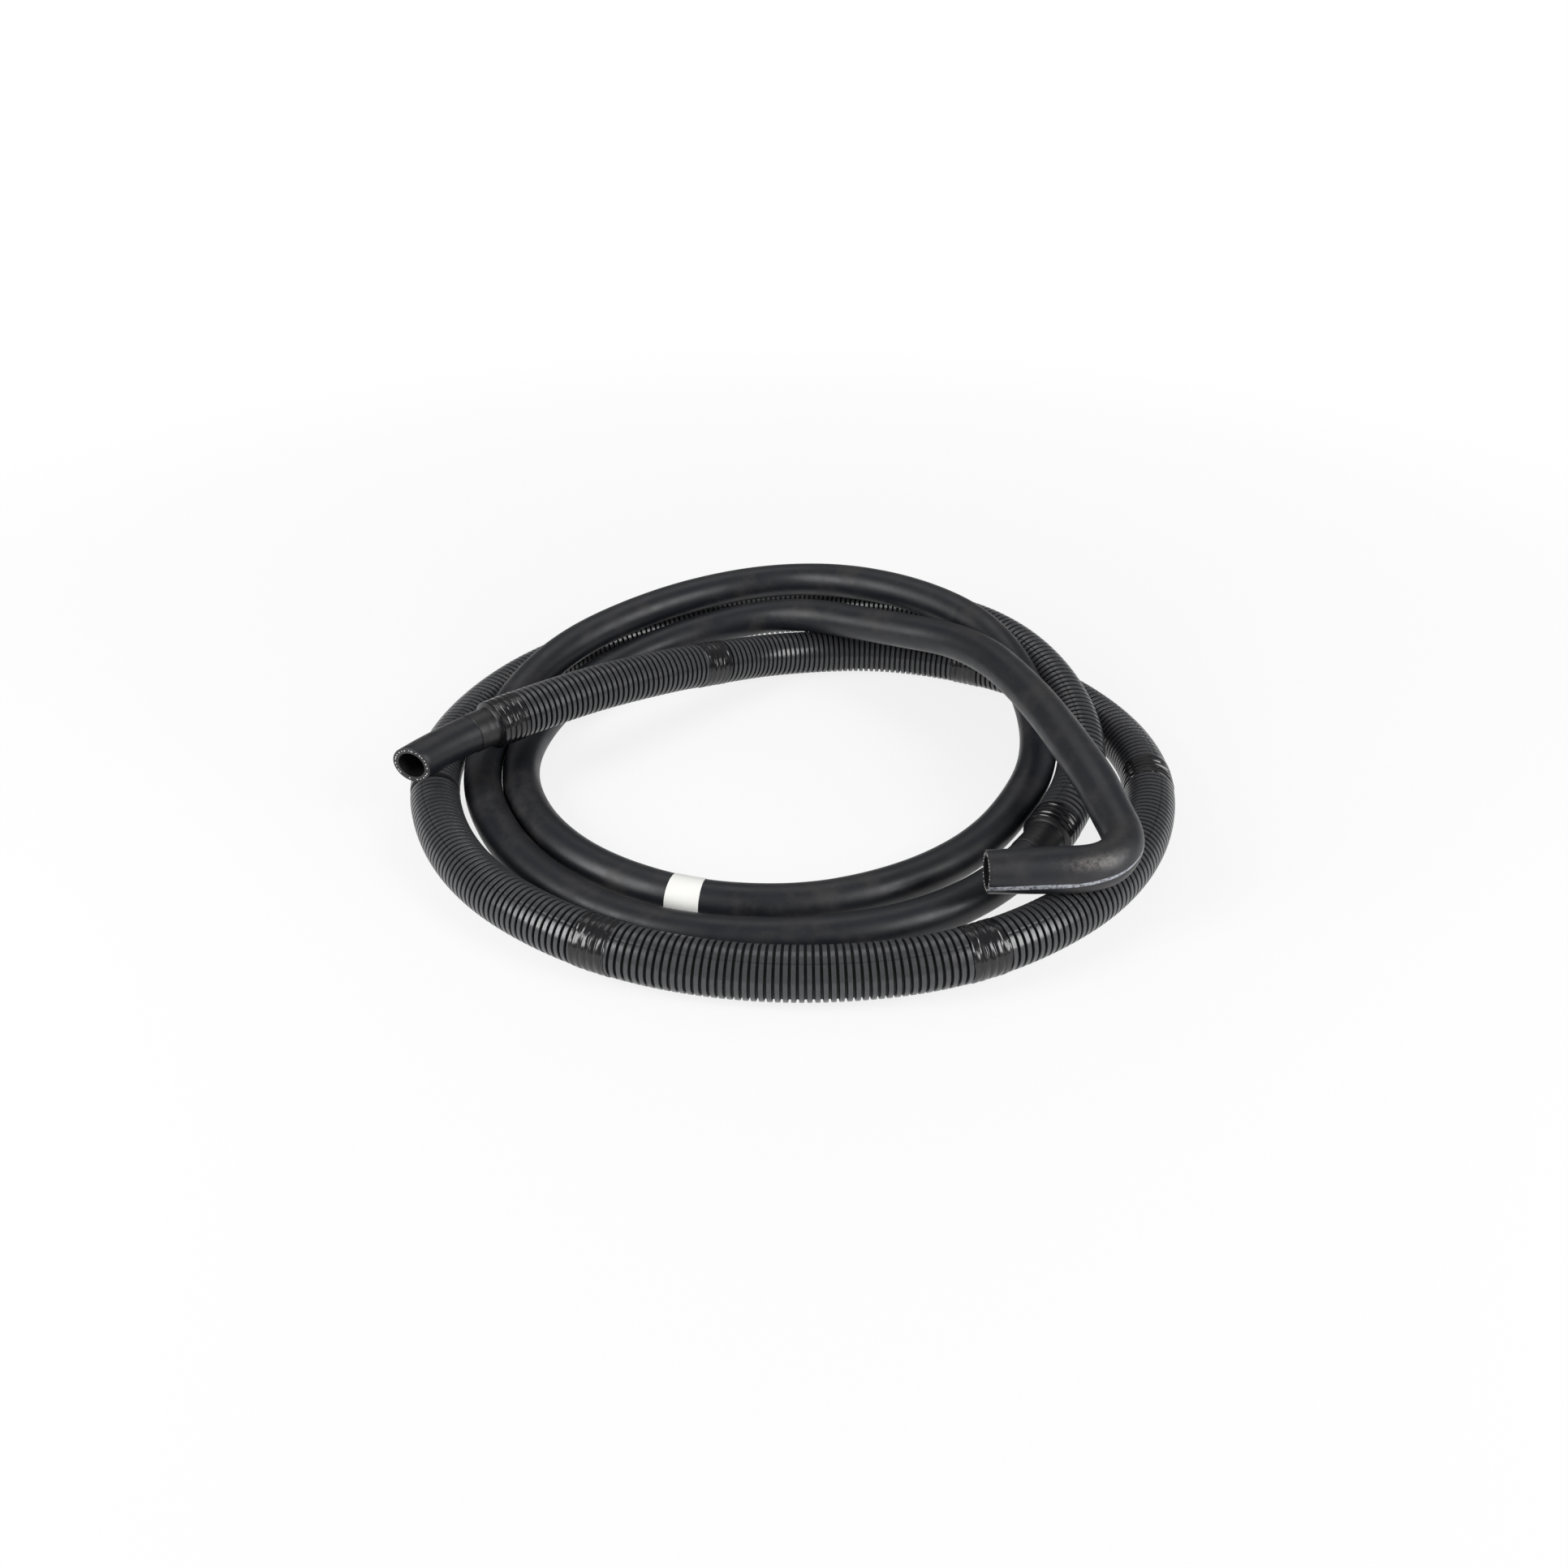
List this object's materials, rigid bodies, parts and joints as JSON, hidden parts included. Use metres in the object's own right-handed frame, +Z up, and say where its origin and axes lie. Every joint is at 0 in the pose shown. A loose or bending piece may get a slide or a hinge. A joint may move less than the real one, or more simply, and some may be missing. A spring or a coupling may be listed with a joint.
{
  "type": "vacuum hose",
  "caption": "Coiled flexible suction hose with ribbed split guard sleeves, tape bands, a marker band, a tight elbow and two open ends.",
  "frame": {"origin": "on the floor under the middle of the box round the coil", "axes": "+Z up off the floor, +Y away from the camera of the picture, +X to its right"},
  "size_m": [0.5474, 0.4922, 0.0867],
  "materials": {
    "hose_rubber": "satin",
    "sleeve_plastic": "satin",
    "tape": "gloss",
    "marker_white": "matte"
  },
  "bodies": {
    "root": {"hose": "hose_rubber", "guard_sleeve_a": "sleeve_plastic", "guard_sleeve_b": "sleeve_plastic", "tape_end_a": "tape", "tape_back": "tape", "tape_back_right": "tape", "tape_right": "tape", "tape_front_right": "tape", "tape_front_left": "tape", "tape_sleeve_end": "tape", "marker_band": "marker_white"}
  },
  "joints": []
}
